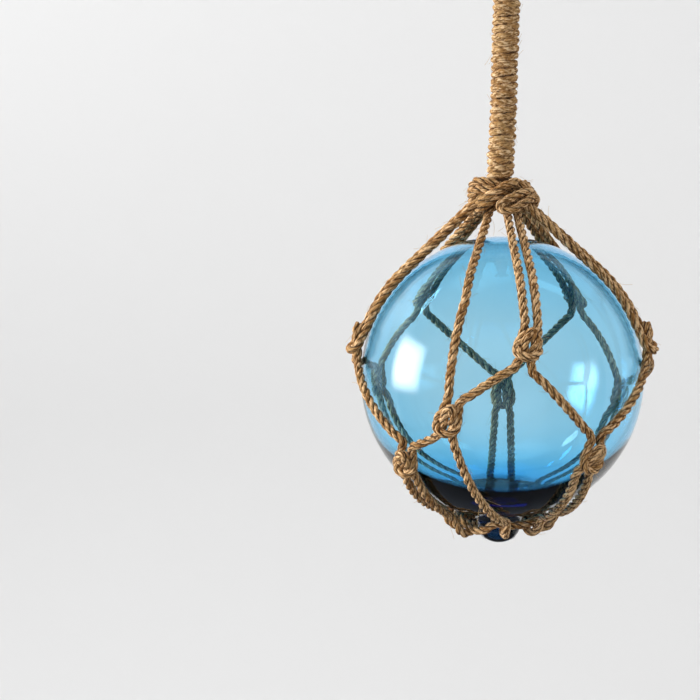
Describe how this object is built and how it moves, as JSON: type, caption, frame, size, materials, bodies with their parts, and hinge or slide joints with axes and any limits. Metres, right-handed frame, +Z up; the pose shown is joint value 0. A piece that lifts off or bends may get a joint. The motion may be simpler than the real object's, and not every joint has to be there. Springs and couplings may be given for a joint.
{
  "type": "glass float ball",
  "caption": "Blown blue glass float in a knotted natural-rope net, hung from a cord-served rope with an eye at the top.",
  "frame": {"origin": "the inside top of the eye, where a hook bears", "axes": "+Z up along the hanging rope, -Y the front that the picture shows, +X to its right"},
  "size_m": [0.2167, 0.2194, 0.4521],
  "materials": {
    "blue_glass": "clear, polished, blown",
    "net_rope": "laid natural fibre, rough",
    "serving_cord": "twisted natural fibre, rough"
  },
  "bodies": {
    "root": {"glass_ball": "blue_glass", "net": "net_rope", "foot_ring": "net_rope", "crown_knot": "net_rope", "served_hanger": "serving_cord", "eye_loop": "net_rope"}
  },
  "joints": []
}
